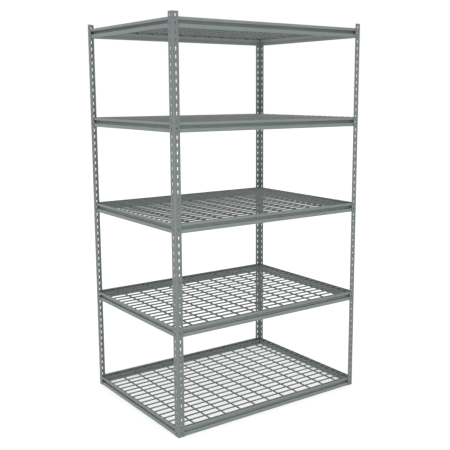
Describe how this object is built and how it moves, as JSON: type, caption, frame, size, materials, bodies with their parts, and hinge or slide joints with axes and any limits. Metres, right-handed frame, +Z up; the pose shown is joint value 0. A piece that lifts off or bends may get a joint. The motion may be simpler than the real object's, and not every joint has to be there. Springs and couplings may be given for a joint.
{
  "type": "boltless steel shelving",
  "caption": "Free-standing boltless steel shelving: slotted angle posts carry riveted roll-formed beams with drop-in welded wire decks.",
  "frame": {"origin": "on the floor, under the middle of the unit", "axes": "+X along the long side, -Y the open front, +Z up"},
  "size_m": [1.2354, 0.9308, 2.1336],
  "materials": {
    "post_paint": "satin grey powder coat",
    "beam_paint": "satin grey powder coat",
    "deck_wire_paint": "satin grey powder coat on wire"
  },
  "bodies": {
    "frame": {"post_front_left": "post_paint", "post_front_right": "post_paint", "post_back_left": "post_paint", "post_back_right": "post_paint"},
    "shelf_1": {"beam_front_1": "beam_paint", "beam_back_1": "beam_paint", "beam_left_1": "beam_paint", "beam_right_1": "beam_paint"},
    "wire_deck_1": {"deck_1": "deck_wire_paint"},
    "shelf_2": {"beam_front_2": "beam_paint", "beam_back_2": "beam_paint", "beam_left_2": "beam_paint", "beam_right_2": "beam_paint"},
    "wire_deck_2": {"deck_2": "deck_wire_paint"},
    "shelf_3": {"beam_front_3": "beam_paint", "beam_back_3": "beam_paint", "beam_left_3": "beam_paint", "beam_right_3": "beam_paint"},
    "wire_deck_3": {"deck_3": "deck_wire_paint"},
    "shelf_4": {"beam_front_4": "beam_paint", "beam_back_4": "beam_paint", "beam_left_4": "beam_paint", "beam_right_4": "beam_paint"},
    "wire_deck_4": {"deck_4": "deck_wire_paint"},
    "shelf_5": {"beam_front_5": "beam_paint", "beam_back_5": "beam_paint", "beam_left_5": "beam_paint", "beam_right_5": "beam_paint"},
    "wire_deck_5": {"deck_5": "deck_wire_paint"}
  },
  "joints": [
    {"name": "shelf_1_unhook", "type": "slide", "parent": "frame", "child": "shelf_1", "axis": [0, 0, 1], "range_m": [0, 0.013]},
    {"name": "deck_1_lift_out", "type": "slide", "parent": "shelf_1", "child": "wire_deck_1", "axis": [0, 0, 1], "range_m": [0, 0.12]},
    {"name": "shelf_2_unhook", "type": "slide", "parent": "frame", "child": "shelf_2", "axis": [0, 0, 1], "range_m": [0, 0.013]},
    {"name": "deck_2_lift_out", "type": "slide", "parent": "shelf_2", "child": "wire_deck_2", "axis": [0, 0, 1], "range_m": [0, 0.12]},
    {"name": "shelf_3_unhook", "type": "slide", "parent": "frame", "child": "shelf_3", "axis": [0, 0, 1], "range_m": [0, 0.013]},
    {"name": "deck_3_lift_out", "type": "slide", "parent": "shelf_3", "child": "wire_deck_3", "axis": [0, 0, 1], "range_m": [0, 0.12]},
    {"name": "shelf_4_unhook", "type": "slide", "parent": "frame", "child": "shelf_4", "axis": [0, 0, 1], "range_m": [0, 0.013]},
    {"name": "deck_4_lift_out", "type": "slide", "parent": "shelf_4", "child": "wire_deck_4", "axis": [0, 0, 1], "range_m": [0, 0.12]},
    {"name": "shelf_5_unhook", "type": "slide", "parent": "frame", "child": "shelf_5", "axis": [0, 0, 1], "range_m": [0, 0.013]},
    {"name": "deck_5_lift_out", "type": "slide", "parent": "shelf_5", "child": "wire_deck_5", "axis": [0, 0, 1], "range_m": [0, 0.12]}
  ]
}
